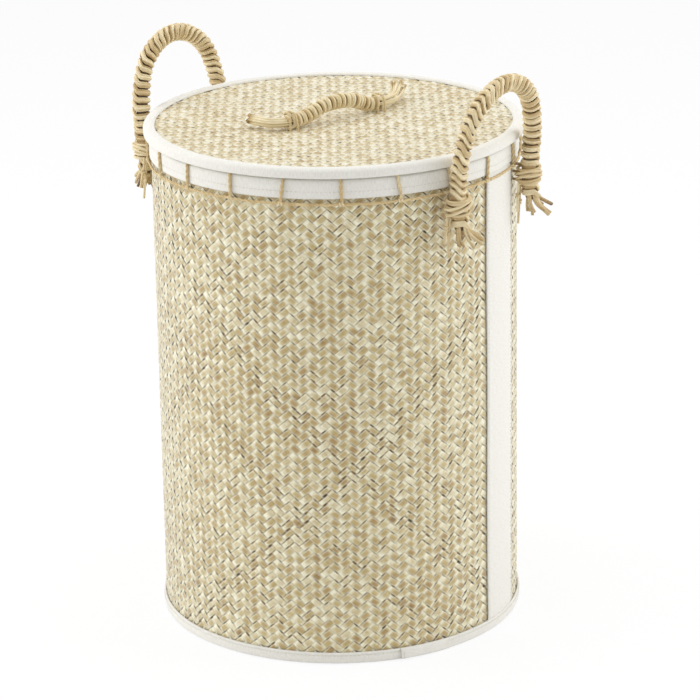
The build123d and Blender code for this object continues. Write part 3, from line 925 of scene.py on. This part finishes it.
# %% Lashings
lash_low, lash_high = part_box("handle_lashings")
feet = [(out, across) for out in (1, -1) for across in (-leg_out, leg_out)]
lash_shapes = []
for number, (out, across) in enumerate(feet):
    chance = np.random.default_rng(90 + number)
    for reach, low, high, turns, tilt in (
        (0.0110, lash_low.z + 0.002, lash_high.z + 0.001, 5, 0.0010),
        (0.0126, lash_low.z + 0.005, lash_high.z - 0.004, 2, 0.0045),
    ):
        angle = np.linspace(-pi / 2, 2 * pi * turns - pi / 2, turns * 24 + 1)
        level = np.linspace(high, low, len(angle)) + tilt * np.sin(angle + chance.uniform(0, 6))
        level += 0.0007 * np.sin(angle * chance.uniform(0.3, 0.6) + chance.uniform(0, 6))
        loose = reach + 0.0006 * np.sin(angle * 1.37 + chance.uniform(0, 6))
        turned = np.stack(
            [out * (hinge_reach + loose * np.sin(angle)), across + loose * np.cos(angle), level], axis=1
        )
        ends = [
            np.array([[out * sqrt((drum_radius - 0.001) ** 2 - end[1] ** 2), end[1], end[2]]])
            for end in (turned[0], turned[-1])
        ]
        line = np.concatenate([ends[0], turned, ends[1]])
        lash_shapes.append(tube(spaced(line, len(line)), 0.00155, 6, chance.uniform(0.2, 0.5)))
lash_nodes = ["handle_lashings", "handle_hinge_cords"]
make_piece("foot_lashings", join_shapes(lash_shapes), rope_fibre, "basket", lash_nodes)

# %% Rope tails
strand_count = 11


def below(place, depth, shift=0.0):
    """A place that hangs below another one, pushed aside by a shift."""
    return place + np.array([0.0, 0.0, -depth]) + shift


tail_shapes = []
for number, (out, across) in enumerate(feet):
    chance = np.random.default_rng(110 + number)
    core_top = np.array([out * hinge_reach, across, hinge_height - 0.012])
    core_low = np.array([out * hinge_reach, across, lash_low.z - 0.004])
    tail_shapes.append(tube(spaced(np.array([core_top, core_low]), 8), 0.0078, 9, 0.7))
    knob_low = core_low + np.array([out * 0.002, 0.002, -0.011])
    knob = smooth_line([below(core_low, -0.006), below(core_low, 0.003), knob_low])
    tail_shapes += whipping(knob, 0.0066, 0.0089, rope_straw, chance.uniform(0, 6), 0.8, 140 + number)
    lean = np.array([out * 0.004, 0.006, 0.0])
    for strand in range(strand_count):
        facing = 2 * pi * strand / strand_count + chance.uniform(-0.25, 0.25)
        spread = chance.uniform(0.5, 1.7)
        length = chance.uniform(0.015, 0.024)
        way = np.array([out * cos(facing), sin(facing), 0.0])
        if way[0] * out < 0:
            way[0] *= 0.4
        begin = below(knob_low, -0.005, way * 0.0045)
        kink = np.array([chance.uniform(-1, 1), chance.uniform(-1, 1), 0]) * 0.003
        route = [
            begin,
            below(begin, 0.35 * length, way * 0.002 * spread),
            below(begin, 0.7 * length, way * 0.005 * spread + 0.5 * lean + kink),
            below(begin, length, way * 0.009 * spread + lean),
        ]
        thickness = chance.uniform(0.0015, 0.0022) * np.linspace(1.0, chance.uniform(0.75, 1.0), 10)
        tone = chance.uniform(0.25, 0.8) + np.linspace(0, 0.5, 10) ** 2
        tail_shapes.append(tube(spaced(smooth_line(route), 10), thickness, 6, tone))
    for length, shift in ((0.031, -0.0100), (0.044, -0.0065)):
        begin = core_low + np.array([-out * 0.006, shift, 0.008])
        swing_out = np.array([out * chance.uniform(0, 0.003), chance.uniform(-0.006, -0.001), 0.0])
        aside = np.array([0.0, -0.001, 0.0])
        route = [
            begin,
            below(begin, 0.3 * length, aside),
            below(begin, 0.65 * length, aside + 0.6 * swing_out),
            below(begin, length, aside + swing_out),
        ]
        cord = spaced(smooth_line(route), 16)
        tail_shapes.append(tube(cord, 0.0014, 6, chance.uniform(0.1, 0.4)))
        tail_shapes.append(tube(wind(cord[6:9], 0.0016, 1.8, 0.4, 14), 0.0011, 6, 0.3))
make_piece("rope_tails", join_shapes(tail_shapes), rope_fibre, "basket", ["handle_tails"])

# %% [markdown]
# ## Lid handle
# A shorter rope crosses the lid. Its middle is wound like the side handles and stands up in a low arch,
# two ties hold it down through the mat, and its ends are left loose. The route repeats the points of the
# solid, turned to the rope's direction.

# %% Lid rope
lid_rope_radius = 0.0064
lid_turned = radians(72.4)
lid_rope_full = lid_rope_radius + 0.0008  # loose turns stand out a little from the solid
lid_level = lid_mat_high.z + lid_rope_full
lid_rise = 0.011
wound_reach = 0.060
lid_route = [
    (-1.40, 0.63, 0.0),
    (-1.33, 0.28, 0.0),
    (-1.17, 0.0, 0.0),
    (-0.70, 0.0, 0.0),
    (-0.45, 0.0, 0.45),
    (-0.18, 0.0, 1.0),
    (0.33, 0.0, 1.0),
    (0.58, 0.0, 0.45),
    (0.82, 0.0, 0.0),
    (1.23, 0.0, 0.0),
    (1.52, 0.20, 0.0),
    (1.80, 0.52, 0.0),
]  # along and across in shares of the wound part's reach, then the share of the rise


def on_lid(along, across, height):
    """A place beside the lid rope's line, turned on the lid."""
    x = along * cos(lid_turned) - across * sin(lid_turned)
    y = along * sin(lid_turned) + across * cos(lid_turned)
    return np.array([x, y, height])


lid_line = smooth_line(
    [on_lid(wound_reach * a, wound_reach * b, lid_level + lid_rise * c) for a, b, c in lid_route]
)
lid_points = spaced(lid_line, 240)
along_lid = lid_points[:, 0] * cos(lid_turned) + lid_points[:, 1] * sin(lid_turned)
first, last = (int(np.argmax(along_lid > end)) for end in (-wound_reach, wound_reach))
lid_shapes = whipping(lid_points[first:last], 0.0062, lid_rope_full, 0.0014, 2.4, 0.6, 130)
chance = np.random.default_rng(131)
tucked = 6  # points of each loose end that lie under the winding
lid_ends = (
    (lid_points[: first + tucked][::-1], 0.0022, 0.8),
    (lid_points[last - tucked :], 0.007, 0.6),
)  # its line, how far it splays and how brown its tips are
for end_points, splay, browns in lid_ends:
    side, over = cross_axes(end_points)
    share = np.linspace(0, 1, len(end_points))
    for strand in range(9):
        facing = 2 * pi * strand / 9 + chance.uniform(-0.2, 0.2)
        reach = 0.0034 + (chance.uniform(0.3, 1.0) * splay - 0.0012) * share**1.5
        keep = int(len(end_points) * chance.uniform(0.82, 1.0))
        line = end_points + reach[:, None] * (cos(facing) * side + sin(facing) * over)
        line[:, 2] += chance.uniform(0.3, 1.0) * splay * share**2
        tone = chance.uniform(0.0, 0.3) + browns * np.clip((share - 0.7) / 0.15, 0, 1)
        lid_shapes.append(tube(line[:keep], chance.uniform(0.0012, 0.0016), 6, tone[:keep]))
lid_rope_nodes = ["lid_handle_core", "lid_handle_wrap"]
make_piece("lid_handle_rope", join_shapes(lid_shapes), lid_rope_fibre, "lid", lid_rope_nodes)

# %% Lid ties
tie_spread = 0.112
tie_reach = lid_rope_full + 0.0012
tie_side = tie_reach + 0.0004
tie_top = lid_level + tie_reach * 1.1
tie_end = lid_mat_high.z - 0.003  # pulled down into the mat
tie_shapes = []
for along in (-tie_spread / 2, tie_spread / 2):
    for shift, slant in ((-0.0022, 0.003), (0.0026, -0.0015)):
        at = along + shift
        route = [
            on_lid(at - slant, -tie_side, tie_end),
            on_lid(at - slant, -tie_side, lid_level),
            on_lid(at - slant / 2, -tie_reach * 0.75, tie_top),
            on_lid(at + slant / 2, tie_reach * 0.75, tie_top),
            on_lid(at + slant, tie_side, lid_level),
            on_lid(at + slant, tie_side, tie_end),
        ]
        tie_shapes += twisted(spaced(smooth_line(route), 30), 0.0013, 0.009)
make_piece("lid_ties", join_shapes(tie_shapes), lid_rope_fibre, "lid", ["lid_handle_ties"])

# %% [markdown]
# ## Hoops
# A cane hoop stiffens the rim and another the lid. The solids are square in section, while real cane is
# round, so each gets a round rod of its own inside the canvas.

# %% Cane
for name, radius, level, thick, body, node in (
    ("rim_cane", wall_middle, wall_high.z + 0.00225, 0.0021, "basket", "rim_hoop"),
    ("lid_cane", lid_out - 0.0042, (lid_mat_low.z + lid_mat_high.z) / 2, 0.0024, "lid", "lid_hoop"),
):
    hoop_line = round_axis(radius, np.linspace(0, 2 * pi, 181), level)
    make_piece(name, tube(hoop_line, thick, 8), cane, body, [node])

# %% [markdown]
# ## Studio
# The photograph is a pale studio shot: bright from above and from both sides, a little darker in front.
# Wide soft lamps give that without hard shadows, and the floor is plain and pale.

# %% Floor and light
def seen_directly(tree):
    """1 for what the camera sees, also in a mirror or through glass, and 0 for light that falls on things."""
    rays = put(tree, "LightPath").outputs
    mirrored = reckon(tree, "MAXIMUM", rays["Is Glossy Ray"], rays["Is Transmission Ray"])
    return reckon(tree, "MAXIMUM", rays["Is Camera Ray"], mirrored)


floor_material = bpy.data.materials.new("Studio floor")
floor_material.use_nodes = True
floor_tree = floor_material.node_tree
floor_shader = floor_tree.nodes["Principled BSDF"]
floor_shader.inputs["Base Color"].default_value = (0.95, 0.95, 0.95, 1)
floor_shader.inputs["Roughness"].default_value = 0.9
white_floor = put(floor_tree, "Emission", {"Strength": 1.0})
whiteness = reckon(floor_tree, "MULTIPLY", seen_directly(floor_tree), 0.85)
floor_parts = {0: whiteness, 1: floor_shader.outputs[0], 2: white_floor.outputs[0]}
floor_mix = put(floor_tree, "MixShader", floor_parts)
floor_tree.links.new(floor_mix.outputs[0], floor_tree.nodes["Material Output"].inputs["Surface"])
floor_mesh = bpy.data.meshes.new("floor")
far = 8.0
floor_mesh.from_pydata([(-far, -far, 0), (far, -far, 0), (far, far, 0), (-far, far, 0)], [], [(0, 1, 2, 3)])
floor_mesh.materials.append(floor_material)
floor_object = bpy.data.objects.new("floor", floor_mesh)
floor_object.location.z = -0.0005
bpy.context.scene.collection.objects.link(floor_object)

world = bpy.data.worlds.new("Studio")
world.use_nodes = True
sky_tree = world.node_tree
sky = sky_tree.nodes["Background"]
sky.inputs["Color"].default_value = (1, 1, 1, 1)
sky.inputs["Strength"].default_value = 0.66
white_sky = put(sky_tree, "Background", {"Color": (1, 1, 1, 1), "Strength": 1.0})
sky_mix = put(sky_tree, "MixShader", {0: seen_directly(sky_tree), 1: sky.outputs[0], 2: white_sky.outputs[0]})
sky_tree.links.new(sky_mix.outputs[0], sky_tree.nodes["World Output"].inputs["Surface"])
bpy.context.scene.world = world


def soft_lamp(name, place, power, size):
    """A wide lamp that looks at the middle of the basket."""
    lamp = bpy.data.lights.new(name, "AREA")
    lamp.energy = power
    lamp.size = size
    holder = bpy.data.objects.new(name, lamp)
    holder.location = place
    holder.rotation_euler = (Vector((0, 0, 0.3)) - Vector(place)).to_track_quat("-Z", "Y").to_euler()
    bpy.context.scene.collection.objects.link(holder)


def seen_from_camera(right, back, up):
    """A place given by the camera's right, away from the camera, and up."""
    return (
        right * cos(view_side) - back * sin(view_side),
        right * sin(view_side) + back * cos(view_side),
        up,
    )


soft_lamp("Top", seen_from_camera(-0.2, 0.4, 2.9), 26, 2.8)
soft_lamp("Right", seen_from_camera(2.2, 0.0, 1.2), 22, 1.8)
soft_lamp("Left", seen_from_camera(-2.2, 0.0, 1.2), 25, 1.8)
print("lamps", [light.name for light in bpy.data.lights])

# %% [markdown]
# ## Camera
# The camera repeats the photograph's view: from above and far off, with a long lens, because the sides of
# the photographed drum hardly run together towards the floor. Its place was found by fitting the lid, the
# rim and the base to the picture.

# %% Camera
camera_back, camera_up = 3.3446, 1.41602
camera_pitch, camera_yaw, camera_roll = 0.32934, 0.00385, -0.01678
picture_focus = 4.838  # focal length in picture widths
camera_data = bpy.data.cameras.new("Camera")
camera_data.sensor_width = 36
camera_data.lens = picture_focus * camera_data.sensor_width
camera = bpy.data.objects.new("Camera", camera_data)
camera.location = seen_from_camera(0, -camera_back, camera_up)
look = Vector(
    seen_from_camera(
        sin(camera_yaw) * cos(camera_pitch), cos(camera_yaw) * cos(camera_pitch), -sin(camera_pitch)
    )
)
camera.rotation_mode = "QUATERNION"
camera.rotation_quaternion = look.to_track_quat("-Z", "Y") @ Quaternion((0, 0, 1), camera_roll)
bpy.context.scene.collection.objects.link(camera)
bpy.context.scene.camera = camera
bpy.context.scene.view_settings.view_transform = "Standard"
print("camera at", [round(value, 3) for value in camera.location])

# %% [markdown]
# ## Finish
# The scene is brought up to date, and the frame takes it over.

# %% Finish
bpy.context.view_layer.update()
